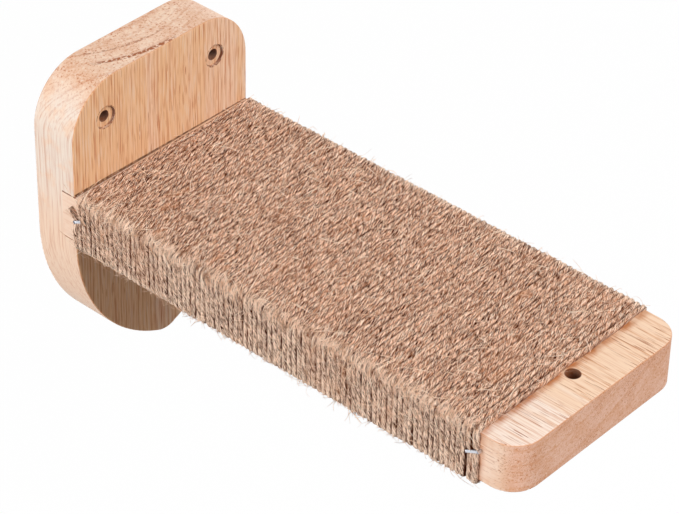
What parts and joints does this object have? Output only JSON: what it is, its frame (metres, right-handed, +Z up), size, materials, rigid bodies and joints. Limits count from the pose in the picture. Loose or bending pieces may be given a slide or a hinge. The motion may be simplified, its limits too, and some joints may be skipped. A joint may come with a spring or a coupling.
{
  "type": "cat wall shelf",
  "caption": "Small wooden cat wall shelf: a jute-wound plank housed in a shield-shaped wall plate, with wall-screw holes above it and a toy hole at its front end.",
  "frame": {"origin": "midway between the two wall-screw holes, on the back face of the wall plate", "axes": "+Z up, +Y out of the back face into the wall, +X to the right as seen from the front; the plank reaches out along -Y"},
  "size_m": [0.084, 0.203, 0.115],
  "materials": {
    "plate_wood": "clear satin varnish on pale hardwood, grain upright",
    "plank_wood": "clear satin varnish on pale hardwood, grain along the plank",
    "jute": "natural jute twine, fuzzy",
    "staple_steel": "bright galvanised wire",
    "screw_steel": "zinc-plated"
  },
  "bodies": {
    "root": {"wall_plate": "plate_wood", "shelf_plank": "plank_wood", "jute_wrap": "jute", "rear_staple": "staple_steel", "front_staple": "staple_steel", "plank_screw_left": "screw_steel", "plank_screw_right": "screw_steel"}
  },
  "joints": []
}
